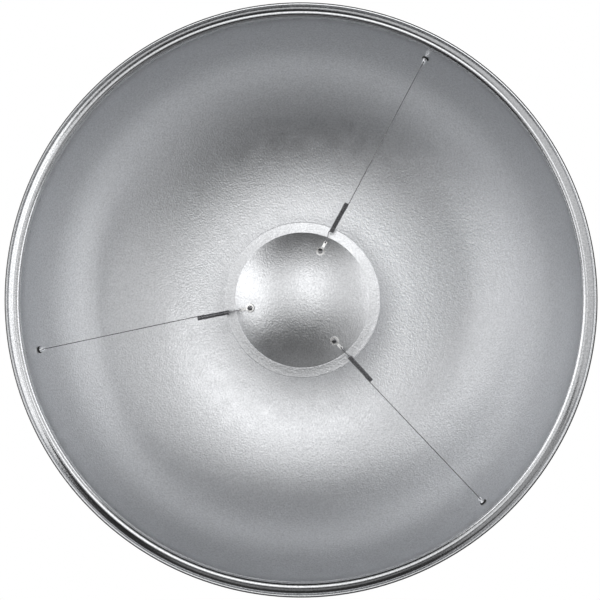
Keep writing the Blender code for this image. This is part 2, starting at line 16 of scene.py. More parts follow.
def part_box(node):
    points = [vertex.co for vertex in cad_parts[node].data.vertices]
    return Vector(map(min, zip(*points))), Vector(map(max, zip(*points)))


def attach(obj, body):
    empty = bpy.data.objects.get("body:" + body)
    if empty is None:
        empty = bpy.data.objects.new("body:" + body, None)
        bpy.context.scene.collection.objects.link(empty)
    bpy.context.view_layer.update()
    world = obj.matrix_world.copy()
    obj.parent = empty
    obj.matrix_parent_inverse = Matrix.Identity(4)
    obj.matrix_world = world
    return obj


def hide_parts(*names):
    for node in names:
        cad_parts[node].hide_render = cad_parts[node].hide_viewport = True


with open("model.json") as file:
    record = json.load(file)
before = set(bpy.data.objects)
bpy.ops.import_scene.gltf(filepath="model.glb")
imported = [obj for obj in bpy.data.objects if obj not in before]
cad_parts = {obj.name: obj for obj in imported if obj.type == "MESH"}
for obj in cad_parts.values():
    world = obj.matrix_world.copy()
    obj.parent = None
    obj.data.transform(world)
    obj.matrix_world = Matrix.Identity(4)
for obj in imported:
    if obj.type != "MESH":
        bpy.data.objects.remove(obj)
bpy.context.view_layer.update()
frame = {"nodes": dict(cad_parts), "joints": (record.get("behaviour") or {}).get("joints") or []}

MM = 0.001
BACK = Vector((0, 1, 0))
WELD = 0.001 * MM  # points nearer than this are one
LATHE_TO_Y = Matrix.Rotation(-math.pi / 2, 4, "X")  # a lathe's local +Z becomes world +Y
JOINTS = {joint["name"]: joint for joint in frame["joints"]}

# Bowl. Depths are measured back from the rim's front plane.
RIM_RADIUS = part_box("dish_shell")[1].x
RIM_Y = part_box("dish_shell")[0].y
BOWL_DEPTH = 150.0 * MM
FLOOR_RADIUS = 90.0 * MM
WALL_RADIUS = 265.3 * MM
WALL_EXPONENT = 2.0
WALL_TOP_DEPTH = 6.0 * MM
SHEET = 1.2 * MM
COAT = 0.15 * MM
COAT_GAP = 0.02 * MM
FLOOR_BORE = 52.0 * MM
FLOOR_RING = 0.8  # share of the floor's radius where its outer ring of faces starts
WALL_STEPS = 96
BOWL_STEPS = 192

# Rim lip: a bead round the mouth, a band that falls away outward past a faint line, and a rolled
# edge with a flat crest and a leg turned back.
BEAD_RADIUS = 4.8 * MM
BEAD_CENTRE = (270.0 * MM, 4.8 * MM)
BEAD_TURNS = (194.0, 63.0)  # degrees from the outward direction where the bead starts and ends
BEAD_OUTER_RADIUS = 3.0 * MM  # from the bead's crest outward
BEAD_STEPS = 20
BAND = ((274.2 * MM, 1.78 * MM), (274.45 * MM, 1.78 * MM), (276.5 * MM, 2.95 * MM))
EDGE_RADIUS = 1.3 * MM
EDGE_DEPTH = 2.5 * MM  # of the rolled edge's middle
EDGE_FLAT = 0.4 * MM
EDGE_START_TURN = 150.0
COAT_START_TURN = 80.0  # degrees from the outward direction where the silver ends
EDGE_STEPS = 8
TURNED_LEG = 7.5 * MM
BEAD_BACK_TURN = BEAD_TURNS[1] + 5  # where the bead's hollow back starts
LIP_BACK = (4.3 * MM, 3.2 * MM)  # depth of the lip's back by the leg and behind the bead

LIP_BURNISH = 0.5  # share of the bowl's roughness left on the lip
LIP_PAINTED_SHADE = 0.78  # share of the bowl's colour left on the lip: painted shade that dims the lip's highlights
LIP_GRAIN = 0.12  # share of the bowl's pebble left on the lip
# radii over which the lip's burnish, finer grain and painted shade come in
LIP_BURNISH_AND_PAINTED_SHADE_ZONE = (263.0 * MM, 266.5 * MM)

# Deflector: a dome with a brim, pressed from one sheet.
DOME_APEX_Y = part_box("deflector")[0].y
DOME_RADIUS = 64.5 * MM
DOME_RISE = 18.5 * MM
BRIM_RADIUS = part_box("deflector")[1].x
BRIM_DROP = 1.0 * MM
CREASE_WIDTH = 0.3 * MM
CREASE_ROUNDS = 3  # times its corners are cut
BRIM_CURVE = 1.3  # the brim flattens toward its edge
DOME_STEPS = 40
BRIM_STEPS = 10
BRIM_EDGE_STEPS = 8
CREASE_Y = DOME_APEX_Y + DOME_RISE
DOME_SPHERE = (DOME_RADIUS**2 + DOME_RISE**2) / (2 * DOME_RISE)

# Suspension.
LUG_CIRCLE = 49.6 * MM
LUG_ANGLES = (68.8, 188.8, 308.8)
POST_DEPTH = 42.7 * MM  # of a stud's foot behind the rim plane
POST_REACH = 5.4 * MM  # from the wall to the cross hole
LUG_LEAN = math.asin(LUG_CIRCLE / DOME_SPHERE)
LUG_LIFT = 0.6 * MM  # dome to the lug's middle plane
WIRE_RADIUS = 0.4 * MM
COIL_START = 11.4 * MM
COIL_LENGTH = 31.0 * MM
COIL_MEAN = 1.85 * MM
COIL_PITCH = 0.84 * MM
COIL_POINTS = 14
INNER_LEG_TURNS = (180.0, 90.0, 90.0)
LEG_BEND = 0.5 * MM
LEG_LEAVE = 6 * LEG_BEND  # from the coil's end to where the long leg is straight
INNER_LEG_LEAVE = 4 * LEG_BEND
POST_HOOK = (2.9 * MM, 1.8 * MM, 3.9 * MM)  # reach past the hole, half width, start of the leg
LUG_HOOK = (2.6 * MM, 1.1 * MM, 3.9 * MM)
HOOK_BLEND = 7.5 * MM
HOOK_SMOOTHING = 5  # steps between two points of a hook
WIRE_SHARP = 60.0
WIRE_ROUNDNESS = 2  # the wire's bevel resolution
HOOK_LINE = (
    (0.92, 0.55), (0.62, 1.0), (0.25, 1.0), (0.05, 0.8), (0.0, 0.45), (0.0, -0.45), (0.05, -0.8),
    (0.25, -1.0), (0.66, -1.0), (1.0, -0.45),
)

# Solder lug.
LUG_SHEET = 0.6 * MM
LUG_RING = 4.4 * MM
LUG_BORE = 1.75 * MM
LUG_TAIL_HALF = 1.35 * MM
LUG_BEND = 4.8 * MM
LUG_TAIL = 5.1 * MM
LUG_END = 1.7 * MM
LUG_HOLE = 0.85 * MM
LUG_EDGE = 0.1 * MM
LUG_BEND_ZONE = 0.7 * MM
LUG_BEND_CUTS = 5
LUG_NECK = (0.25, 1.12)  # radians past the tail's corner, and ring radii, where the neck flares
LUG_TIP_TURN = 127.0  # degrees either side of the tail's line that its round end covers
LUG_STEPS = (40, 20)  # round the ring and the end
LUG_HOLE_SIDES = (32, 20)  # screw hole and wire hole

# Stud through the wall, along its own axis from the wall inward.
STUD_FLANGE = (2.5 * MM, 1.2 * MM, 2.0 * MM)  # radius, start, end
STUD_SHANK = 1.9 * MM
STUD_TIP = 1.6 * MM
STUD_STEM = (1.45 * MM, 6.8 * MM)
STUD_HOLE = 0.75 * MM
STUD_FLAT = 1.1 * MM
STUD_FLAT_START = 1.6 * MM
# the black seat reaches past the flange so that it also stands in for the shade round the stud's foot:
# partly painted shade
STUD_SEAT = 3.3 * MM
STUD_EDGE = 0.2 * MM
STUD_NOSE = ((0.5, 0.0), (0.78, 0.2 * MM), (0.94, 0.6 * MM), (1.0, 1.2 * MM))  # shank share, drop
STUD_TOOL = (3.0 * MM, 6.0 * MM, 1.5 * MM)  # half width, length and half depth of its cutting tools
STUD_BORE_SIDES = 20
SEAT_PLAY = 0.1 * MM

# Mount.
CLAMP_RING = (51.0 * MM, 68.0 * MM, 1.5 * MM)
CLAMP_SCREW_CIRCLE = 60.0 * MM
CLAMP_SCREW_ANGLES = (0.0, 90.0, 180.0, 270.0)
COLLAR_OUTER = 70.0 * MM
COLLAR_WEB = 3.0 * MM
COLLAR_BORES = (52.0 * MM, 54.0 * MM)
COLLAR_REAR_FLANGE = 3.6 * MM
SEAT_THICKNESS = 3.0 * MM
THROAT_RADIUS = 49.0 * MM
SPIGOT_RADIUS = 53.0 * MM
SPIGOT_LENGTH = 9.0 * MM
BAYONET_LUG = (58.0 * MM, 26.0, 6.0 * MM, 8.6 * MM)  # radius, degrees wide, front, rear
BAYONET_ANGLES = (90.0, 210.0, 330.0)
SEAT_SCREW_CIRCLE = 63.5 * MM
SEAT_SCREW_ANGLES = (45.0, 135.0, 225.0, 315.0)
RING_STEPS = 128
CLAMP_EDGE = 0.4 * MM
CLAMP_EDGE_TURNS = (0.4, 0.8, 1.2)  # radians round its outer edge
COLLAR_EDGE = 0.6 * MM
COLLAR_EDGE_CUT = 0.3  # share of the edge's size that its middle point stands in
BAYONET_EDGE = 0.35 * MM
BAYONET_LUG_STEPS = 12
SEAT_SINK = (0.2 * MM, 6.0 * MM)  # how far a screw's sink stands in, and its tool's length
CLAMP_SCREW_TURN = 30.0  # degrees between the recesses of one screw and the next
SEAT_SCREW_TURN = 25.0
LUG_SCREW_TURN = 35.0
LUG_SCREW_END = 1.0 * MM  # thread past the nut

# Fasteners.
M3 = {"thread": 1.45 * MM, "head": 2.5 * MM, "height": 1.6 * MM, "washer": 3.5 * MM,
      "washer_height": 0.5 * MM, "nut": 3.1 * MM, "nut_height": 2.4 * MM, "recess": 1.35 * MM}
M4 = {"thread": 1.95 * MM, "head": 3.8 * MM, "height": 2.4 * MM, "nut": 4.0 * MM,
      "nut_height": 3.2 * MM, "recess": 2.1 * MM, "sunk": 2.2 * MM}
FASTENER_STEPS = 40
GAP = 0.3 * MM
RECESS_WIDTH = 0.26  # of a cross recess, as a share of its reach
RECESS_FOOT = (0.5, 0.7)  # its length and width at the bottom and at the mouth, as shares
RECESS_MOUTH = (1.04, 1.05)
RECESS_PROUD = 0.02 * MM
RECESS_DEPTHS = (0.75, 0.7)  # shares of a pan head's height and of a countersunk head's depth
PAN_CROWN_TURNS = (0.3, 0.6, 0.9, 1.2)  # radians from the head's axis
PAN_CROWN = 0.55  # share of the head's height that is crowned
PAN_SIDE = ((0.985, 0.45), (1.0, 0.3), (1.0, 0.06), (0.97, 0.0))  # shares of radius and height
PAN_TOP = 0.12
THREAD_CHAMFER = 0.3 * MM
SUNK_EDGE = (0.15 * MM, 0.3 * MM)
WASHER_EDGE = 0.12 * MM
NUT_CHAMFER = (0.9, 1.06, 0.35 * MM)  # inner and outer reach as shares of the corner, and drop
NUT_SINK = 0.3 * MM
NUT_PLAY = 0.05 * MM
NUT_TOOL_OVERRUN = 0.5 * MM


# Mesh building -------------------------------------------------------------------------------


def finished(name, bm, matrix, mat, body, replaced=(), sharp=32.0):
    """Turns a bmesh into a piece that rides on a body. Its placement goes into its mesh."""
    bmesh.ops.recalc_face_normals(bm, faces=bm.faces)
    mesh = bpy.data.meshes.new(name)
    bm.to_mesh(mesh)
    bm.free()
    mesh.transform(matrix)
    mesh.materials.append(mat)
    mesh.shade_smooth()
    mesh.set_sharp_from_angle(angle=math.radians(sharp))
    obj = bpy.data.objects.new(name, mesh)
    bpy.context.scene.collection.objects.link(obj)
    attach(obj, body)
    if replaced:
        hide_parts(*replaced)
    return obj


def lathe(profile, steps, closed):
    """A profile of (radius, height) points turned about the local Z axis."""
    bm = bmesh.new()
    verts = [bm.verts.new((radius, 0, height)) for radius, height in profile]
    edges = [bm.edges.new(pair) for pair in zip(verts, verts[1:])]
    if closed:
        edges.append(bm.edges.new((verts[-1], verts[0])))
    bmesh.ops.spin(
        bm, geom=verts + edges, cent=(0, 0, 0), axis=(0, 0, 1), angle=2 * math.pi,
        steps=steps, use_merge=True,
    )
    bmesh.ops.remove_doubles(bm, verts=bm.verts, dist=WELD)
    return bm


def rod(*steps):
    """Closes (radius, height) steps onto the axis at both ends, for a solid turned piece."""
    return [(0, steps[0][1]), *steps, (0, steps[-1][1])]


def loft(lower, upper, low, high):
    """A closed block between two outlines with the same number of points."""
    bm = bmesh.new()
    rings = [
        [bm.verts.new((x, y, height)) for x, y in outline]
        for outline, height in ((lower, low), (upper, high))
    ]
    for i in range(len(lower)):
        j = (i + 1) % len(lower)
        bm.faces.new((rings[0][i], rings[0][j], rings[1][j], rings[1][i]))
    bm.faces.new(rings[0][::-1])
    bm.faces.new(rings[1])
    return bm


def polygon(radius, sides, turn=0.0):
    steps = [turn + 2 * math.pi * i / sides for i in range(sides)]
    return [(radius * math.cos(a), radius * math.sin(a)) for a in steps]


def arc(centre, radius, start, end, steps):
    """Points on an arc in the (radius, depth) plane; angles in degrees, depth grows downward."""
    turns = [math.radians(start + (end - start) * i / steps) for i in range(steps + 1)]
    return [(centre[0] + radius * math.cos(t), centre[1] - radius * math.sin(t)) for t in turns]


def rounded(line, rounds):
    """Cuts the corners of an open line a quarter of each leg in, keeping its ends."""
    near, far = 0.75, 0.25
    for _ in range(rounds):
        cut = [line[0]]
        for (ax, ay), (bx, by) in zip(line, line[1:]):
            cut += [(near * ax + far * bx, near * ay + far * by),
                    (far * ax + near * bx, far * ay + near * by)]
        line = cut + [line[-1]]
    return line


def offset(line, distance):
    """The line moved to the left of its own direction."""
    moved = []
    for i, (x, y) in enumerate(line):
        here = Vector((x, y))
        before, after = Vector(line[max(i - 1, 0)]), Vector(line[min(i + 1, len(line) - 1)])
        legs = [leg.normalized() for leg in (here - before, after - here) if leg.length > 0]
        along = sum(legs, Vector((0, 0))).normalized()
        stretch = distance / max(along.dot(legs[0]), 0.5)
        moved.append((x - along.y * stretch, y + along.x * stretch))
    return moved


def axes_at(origin, along, across):
    """A placement whose local Z runs along one direction and local X as near across as it can."""
    z = along.normalized()
    x = (across - z * across.dot(z)).normalized()
    placement = Matrix((x, z.cross(x), z)).transposed().to_4x4()
    placement.translation = origin
    return placement


def radial(angle):
    turn = math.radians(angle)
    return Vector((math.cos(turn), 0, math.sin(turn)))


def tool(bm, matrix=Matrix.Identity(4)):
    """A loose object for a Boolean."""
    bmesh.ops.recalc_face_normals(bm, faces=bm.faces)
    mesh = bpy.data.meshes.new("tool")
    bm.to_mesh(mesh)
    bm.free()
    mesh.transform(matrix)
    obj = bpy.data.objects.new("tool", mesh)
    bpy.context.scene.collection.objects.link(obj)
    return obj


def carved(bm, steps):
    """The mesh after each (operation, tool object) in turn. The tools are used up."""
    base = tool(bm)
    for operation, other in steps:
        modifier = base.modifiers.new(operation, "BOOLEAN")
        modifier.operation = operation
        modifier.object = other
    graph = bpy.context.evaluated_depsgraph_get()
    result = bmesh.new()
    result.from_mesh(bpy.data.meshes.new_from_object(base.evaluated_get(graph)))
    for obj in [base, *(other for _, other in steps)]:
        bpy.data.objects.remove(obj)
    return result


def swept(points, radius, resolution):
    """A round wire through the points, with filled ends."""
    curve = bpy.data.curves.new("wire", "CURVE")
    curve.dimensions = "3D"
    curve.twist_mode = "MINIMUM"
    spline = curve.splines.new("POLY")
    spline.points.add(len(points) - 1)
    for point, place in zip(spline.points, points):
        point.co = (*place, 1.0)
    curve.bevel_depth = radius
    curve.bevel_resolution = resolution
    curve.use_fill_caps = True
    obj = bpy.data.objects.new("wire", curve)
    bm = bmesh.new()
    bm.from_mesh(bpy.data.meshes.new_from_object(obj))
    bpy.data.objects.remove(obj)
    bmesh.ops.remove_doubles(bm, verts=bm.verts, dist=WELD)
    return bm


def through(points, steps):
    """A smooth line through the points (Catmull-Rom)."""
    ends = [points[0] * 2 - points[1], *points, points[-1] * 2 - points[-2]]
    line = []
    for a, b, c, d in zip(ends, ends[1:], ends[2:], ends[3:]):
        for i in range(steps):
            t = i / steps
            line.append(0.5 * (
                2 * b + (c - a) * t + (2 * a - 5 * b + 4 * c - d) * t**2
                + (3 * b - a - 3 * c + d) * t**3
            ))
    return line + [points[-1]]


# Materials -----------------------------------------------------------------------------------


def node(tree, kind, inputs=None, **settings):
    """A shader node. An input's value is a number, a colour or another node's output."""
    made = tree.nodes.new(kind)
    for key, value in settings.items():
        setattr(made, key, value)
    for key, value in (inputs or {}).items():
        if isinstance(value, bpy.types.NodeSocket):
            tree.links.new(value, made.inputs[key])
        else:
            made.inputs[key].default_value = value
    return made


def noise(tree, place, scale, detail=2.0, roughness=0.5):
    """Noise whose grains are about 1 / scale metres across."""
    inputs = {"Vector": place, "Scale": scale, "Detail": detail, "Roughness": roughness}
    return node(tree, "ShaderNodeTexNoise", inputs).outputs["Fac"]


def between(tree, value, low, high, start=0.3, end=0.7):
    """The value's range start..end spread over low..high."""
    inputs = {"Value": value, "From Min": start, "From Max": end, "To Min": low, "To Max": high}
    return node(tree, "ShaderNodeMapRange", inputs).outputs["Result"]


def tint(tree, factor, dark, light):
    ramp = node(tree, "ShaderNodeMix", data_type="RGBA")
    tree.links.new(factor, ramp.inputs["Factor"])
    ramp.inputs["A"].default_value = (*dark, 1)
    ramp.inputs["B"].default_value = (*light, 1)
    return ramp.outputs["Result"]


# Finishes: colours and roughness wander between two values, on noise of the scales given. A bump
# is (noise scale, height, noise detail).
FINISHES = {
    "silver_satin": {
        "metallic": 1.0, "dark": (0.66, 0.67, 0.685), "light": (0.88, 0.89, 0.91), "mottle": 640.0,
        "rough": (0.34, 0.40), "rough_scale": 90.0,
        "bumps": [(620.0, 0.24 * MM, 1.0), (60.0, 0.10 * MM, 1.0)],
    },
    "black_coat": {
        "metallic": 0.0, "dark": (0.012, 0.012, 0.013), "light": (0.022, 0.022, 0.024),
        "mottle": 40.0, "rough": (0.42, 0.55), "rough_scale": 120.0,
        "bumps": [(900.0, 0.05 * MM, 2.0), (220.0, 0.05 * MM, 1.0)],
    },
    "zinc_plate": {
        "metallic": 1.0, "dark": (0.84, 0.85, 0.87), "light": (0.95, 0.96, 0.97), "mottle": 300.0,
        "rough": (0.14, 0.24), "rough_scale": 500.0, "bumps": [(1800.0, 0.004 * MM, 3.0)],
    },
    "tin_plate": {
        "metallic": 0.5, "dark": (0.88, 0.88, 0.87), "light": (0.97, 0.97, 0.96), "mottle": 400.0,
        "rough": (0.2, 0.32), "rough_scale": 600.0, "bumps": [(1400.0, 0.004 * MM, 2.0)],
    },
    "music_wire": {
        "metallic": 1.0, "dark": (0.14, 0.14, 0.15), "light": (0.28, 0.28, 0.29), "mottle": 700.0,
        "rough": (0.18, 0.30), "rough_scale": 900.0, "bumps": [(2500.0, 0.004 * MM, 2.0)],
    },
    "nickel_dark": {
        "metallic": 1.0, "dark": (0.20, 0.20, 0.21), "light": (0.32, 0.32, 0.33), "mottle": 500.0,
        "rough": (0.22, 0.34), "rough_scale": 700.0, "bumps": [(1600.0, 0.004 * MM, 2.0)],
    },
    # black rubber of the stud seats, which also stands in for the shade round the studs' feet: partly
    # painted shade
    "rubber_and_painted_shade": {
        "metallic": 0.0, "dark": (0.014, 0.014, 0.014), "light": (0.024, 0.024, 0.024),
        "mottle": 200.0, "rough": (0.6, 0.75), "rough_scale": 300.0,
        "bumps": [(1500.0, 0.02 * MM, 2.0)],
    },
}


def surface(name, metallic, dark, light, mottle, rough, rough_scale, bumps):
    """A finish: its colour and roughness wander with noise and its bumps stack up.

    mottle is the colour noise's scale, rough the roughness range and bumps a list of
    (scale, height in metres, noise detail).
    """
    mat = bpy.data.materials.new(name)
    mat.use_nodes = True
    tree = mat.node_tree
    shader = tree.nodes["Principled BSDF"]
    place = node(tree, "ShaderNodeTexCoord").outputs["Object"]
    shader.inputs["Metallic"].default_value = metallic
    colour = tint(tree, between(tree, noise(tree, place, mottle, 4.0), 0, 1), dark, light)
    tree.links.new(colour, shader.inputs["Base Color"])
    roughness = between(tree, noise(tree, place, rough_scale, 3.0), *rough)
    tree.links.new(roughness, shader.inputs["Roughness"])
    normal = None
    for scale, height, detail in bumps:
        inputs = {"Height": noise(tree, place, scale, detail), "Distance": height}
        if normal:
            inputs["Normal"] = normal
        normal = node(tree, "ShaderNodeBump", inputs).outputs["Normal"]
    tree.links.new(normal, shader.inputs["Normal"])
    return mat


def plain(name):
    """One of the finishes above, as it stands."""
    return surface(name, **FINISHES[name])


def silver_satin():
    """Silver lacquer on spun aluminium, with a lip that the rolling has burnished: there it is
    smoother and finer in grain, and its colour is darkened as painted shade."""
    mat = plain("silver_satin")
    tree = mat.node_tree
    shader = tree.nodes["Principled BSDF"]
    place = node(tree, "ShaderNodeTexCoord").outputs["Object"]
    across = node(tree, "ShaderNodeVectorMath", {0: place, 1: (1, 0, 1)}, operation="MULTIPLY")
    reach = node(tree, "ShaderNodeVectorMath", {0: across.outputs[0]}, operation="LENGTH")

    def on_lip(share):
        return between(tree, reach.outputs["Value"], 1.0, share, *LIP_BURNISH_AND_PAINTED_SHADE_ZONE)

    grain = on_lip(LIP_GRAIN)
    for bump in [made for made in tree.nodes if made.bl_idname == "ShaderNodeBump"]:
        tree.links.new(grain, bump.inputs["Strength"])
    base = shader.inputs["Base Color"]
    # painted shade: the colour is scaled down on the lip
    inputs = {0: base.links[0].from_socket, "Scale": on_lip(LIP_PAINTED_SHADE)}
    tree.links.new(node(tree, "ShaderNodeVectorMath", inputs, operation="SCALE").outputs[0], base)
    rough = shader.inputs["Roughness"]
    inputs = {0: rough.links[0].from_socket, 1: on_lip(LIP_BURNISH)}
    tree.links.new(node(tree, "ShaderNodeMath", inputs, operation="MULTIPLY").outputs[0], rough)
    return mat


# Bowl ----------------------------------------------------------------------------------------


def wall_point(turn):
    """Radius and depth on the bowl's face. turn is 0 at the rim and 90 degrees at the floor."""
    power = 2 / WALL_EXPONENT
    radius = FLOOR_RADIUS + (WALL_RADIUS - FLOOR_RADIUS) * math.cos(turn) ** power
    return radius, BOWL_DEPTH * math.sin(turn) ** power


def wall_turn(depth):
    return math.asin((depth / BOWL_DEPTH) ** (WALL_EXPONENT / 2))


def bowl_line():
    """The bowl's face from its bore to the lip's bead."""
    end = wall_turn(WALL_TOP_DEPTH)
    line = [(FLOOR_BORE, BOWL_DEPTH), (FLOOR_RADIUS * FLOOR_RING, BOWL_DEPTH)]
    return line + [
        wall_point(math.pi / 2 + (end - math.pi / 2) * i / WALL_STEPS) for i in range(WALL_STEPS + 1)
    ]


def lip_line():
    """The lip's face in two runs: silver up to the rolled edge, and the black coat from there on."""
    silver = arc(BEAD_CENTRE, BEAD_RADIUS, BEAD_TURNS[0], 90, BEAD_STEPS)
    outer = (BEAD_CENTRE[0], BEAD_OUTER_RADIUS)
    silver += arc(outer, BEAD_OUTER_RADIUS, 90, BEAD_TURNS[1], BEAD_STEPS // 2)[1:] + list(BAND)
    centre = (RIM_RADIUS - EDGE_RADIUS, EDGE_DEPTH)
    inner = (centre[0] - EDGE_FLAT, EDGE_DEPTH)
    silver += arc(inner, EDGE_RADIUS, EDGE_START_TURN, 90, EDGE_STEPS)
    silver += arc(centre, EDGE_RADIUS, 90, COAT_START_TURN, EDGE_STEPS // 4)
    black = arc(centre, EDGE_RADIUS, COAT_START_TURN, 0, EDGE_STEPS)
    return silver, black + [(RIM_RADIUS, TURNED_LEG)]


def back_line():
    """The sheet's back, from the leg's end to the bore."""
    inner_leg = RIM_RADIUS - SHEET
    line = [(inner_leg, TURNED_LEG), (inner_leg, LIP_BACK[0]), (BAND[0][0], LIP_BACK[1])]
    line += arc(BEAD_CENTRE, BEAD_RADIUS - SHEET, BEAD_BACK_TURN, 180, BEAD_STEPS // 2)
    return line + offset(bowl_line(), SHEET)[::-1]


def bowl(silver, black):
    """The spun sheet, silver inside, and the black coat on its outside and the lip's leg."""
    def placed(line):
        return [(radius, RIM_Y + depth) for radius, depth in line]

    silver_lip, black_lip = lip_line()
    face = placed(bowl_line() + silver_lip)
    coat = placed(black_lip + back_line())
    core = face + offset(coat, COAT + COAT_GAP)[1:]
    finished(
        "bowl_sheet", lathe(core, BOWL_STEPS, closed=True), LATHE_TO_Y, silver, "dish",
        ["dish_shell"],
    )
    finished(
        "bowl_coat", lathe(coat + offset(coat, COAT)[::-1], BOWL_STEPS, closed=True), LATHE_TO_Y,
        black, "dish",
    )


# Deflector and suspension --------------------------------------------------------------------


def dome_height(radius):
    """Height of the dome's face in front of its crease."""
    return math.sqrt(DOME_SPHERE**2 - radius**2) - (DOME_SPHERE - DOME_RISE)


def dome_sheet(silver):
    """The deflector: a spherical dome, a pressed crease and a shallow brim with a rounded edge."""
    line = []
    for i in range(1, DOME_STEPS + 1):
        radius = (DOME_RADIUS - CREASE_WIDTH) * i / DOME_STEPS
        line.append((radius, CREASE_Y - dome_height(radius)))
    crease = [line[-1], (DOME_RADIUS, CREASE_Y), (DOME_RADIUS + CREASE_WIDTH, CREASE_Y)]
    line += rounded(crease, CREASE_ROUNDS)[1:]
    edge = SHEET / 2
    brim_y = CREASE_Y + BRIM_DROP
    start, width = line[-1][0], BRIM_RADIUS - edge - line[-1][0]
    for i in range(1, BRIM_STEPS + 1):
        share = i / BRIM_STEPS
        line.append((start + width * share, brim_y - BRIM_DROP * (1 - share) ** BRIM_CURVE))
    back = offset(line, SHEET)[::-1]
    round_edge = [
        (BRIM_RADIUS - edge + edge * math.sin(t), brim_y + edge - edge * math.cos(t))
        for t in (math.pi * i / BRIM_EDGE_STEPS for i in range(1, BRIM_EDGE_STEPS))
    ]
    profile = [(0, CREASE_Y - DOME_RISE), *line, *round_edge, *back,
               (0, CREASE_Y - DOME_RISE + SHEET)]
    return finished(
        "dome_sheet", lathe(profile, BOWL_STEPS, closed=False), LATHE_TO_Y, silver,
        "deflector_body", ["deflector"],
    )


def post_axis(angle):
    """The wall's inward normal where a stud stands."""
    turn = wall_turn(POST_DEPTH)
    step = 0.001
    near, far = wall_point(turn - step), wall_point(turn + step)
    lean = math.atan2(near[0] - far[0], far[1] - near[1])
    return -radial(angle) * math.cos(lean) - BACK * math.sin(lean)


def suspension(index):
    """Places shared by a lug, its wire and its stud."""
    angle = LUG_ANGLES[index]
    anchor = Vector(JOINTS[f"wire_{index + 1}_swing"]["pos_m"])
    normal = radial(angle) * math.sin(LUG_LEAN) - BACK * math.cos(LUG_LEAN)
    seat = radial(angle) * LUG_CIRCLE + BACK * (CREASE_Y - dome_height(LUG_CIRCLE))
    centre = seat + normal * LUG_LIFT
    toward = (anchor - centre).normalized()
    slope = (toward - normal * toward.dot(normal)).normalized()
    bend = centre + slope * LUG_BEND
    tail = (anchor - bend).normalized()
    return {
        "normal": normal, "centre": centre, "slope": slope, "bend": bend, "tail": tail,
        "hole": bend + tail * LUG_TAIL, "anchor": anchor,
        "post": post_axis(math.degrees(math.atan2(anchor.z, anchor.x))),
    }


def plate(outlines, thickness, edge):
    """A flat stamped plate from an outer outline and its holes, with softened edges."""
    curve = bpy.data.curves.new("plate", "CURVE")
    curve.dimensions = "2D"
    curve.fill_mode = "BOTH"
    curve.extrude = thickness / 2 - edge
    curve.bevel_depth = edge
    curve.bevel_resolution = 1
    curve.offset = -edge
    for outline in outlines:
        spline = curve.splines.new("POLY")
        spline.points.add(len(outline) - 1)
        for point, (x, y) in zip(spline.points, outline):
            point.co = (x, y, 0, 1)
        spline.use_cyclic_u = True
    obj = bpy.data.objects.new("plate", curve)
    bm = bmesh.new()
    bm.from_mesh(bpy.data.meshes.new_from_object(obj))
    bpy.data.objects.remove(obj)
    bmesh.ops.remove_doubles(bm, verts=bm.verts, dist=WELD)
    return bm


def lug_outline():
    """Ring, flared neck and round end, in the lug's own plane with the tail along +X."""
    end = LUG_BEND + LUG_TAIL
    flare, neck_reach = LUG_NECK
    ring_steps, tip_steps = LUG_STEPS
    neck = math.asin(LUG_TAIL_HALF / LUG_RING) + flare
    ring = [neck + (2 * math.pi - 2 * neck) * i / ring_steps for i in range(ring_steps + 1)]
    line = [(LUG_RING * math.cos(a), LUG_RING * math.sin(a)) for a in ring]
    line.append((LUG_RING * neck_reach, -LUG_TAIL_HALF))
    tip = [
        math.radians(-LUG_TIP_TURN + 2 * LUG_TIP_TURN * i / tip_steps) for i in range(tip_steps + 1)
    ]
    line += [(end + LUG_END * math.cos(a), LUG_END * math.sin(a)) for a in tip]
    line.append((LUG_RING * neck_reach, LUG_TAIL_HALF))
    return line


def solder_lug(index, places, tin):
    """A stamped solder lug, its ring flat on the dome and its tail bent up into the wires' plane."""
    end = LUG_BEND + LUG_TAIL
    screw_sides, wire_sides = LUG_HOLE_SIDES
    wire_hole = [(x + end, y) for x, y in polygon(LUG_HOLE, wire_sides)]
    bm = plate([lug_outline(), polygon(LUG_BORE, screw_sides), wire_hole], LUG_SHEET, LUG_EDGE)
    start = LUG_BEND - LUG_BEND_ZONE
    for i in range(LUG_BEND_CUTS + 1):
        at = start + 2 * LUG_BEND_ZONE * i / LUG_BEND_CUTS
        geometry = bm.verts[:] + bm.edges[:] + bm.faces[:]
        bmesh.ops.bisect_plane(bm, geom=geometry, plane_co=(at, 0, 0), plane_no=(1, 0, 0))
    turn = places["slope"].angle(places["tail"])
    bend_radius = 2 * LUG_BEND_ZONE / turn
    for vert in bm.verts:
        past = vert.co.x - start
        if past > 0:
            bent = min(past / (2 * LUG_BEND_ZONE), 1.0) * turn
            beyond = max(past - 2 * LUG_BEND_ZONE, 0.0)
            reach = bend_radius - vert.co.z
            vert.co.x = start + reach * math.sin(bent) + beyond * math.cos(bent)
            vert.co.z = bend_radius - reach * math.cos(bent) + beyond * math.sin(bent)
    matrix = axes_at(places["centre"], places["normal"], places["slope"])
    return finished(
        f"solder_lug_{index + 1}", bm, matrix, tin, "deflector_body",
        [f"lug_{index + 1}"],
    )


def hook(hole, along, across, size):
    """Points of a hook through a hole: out past the edge, round it, and back to the leg."""
    reach, half_width, leave = size
    outline = [(reach * u, half_width * v) for u, v in HOOK_LINE] + [(leave, 0)]
    return [hole + along * u + across * v for u, v in outline]


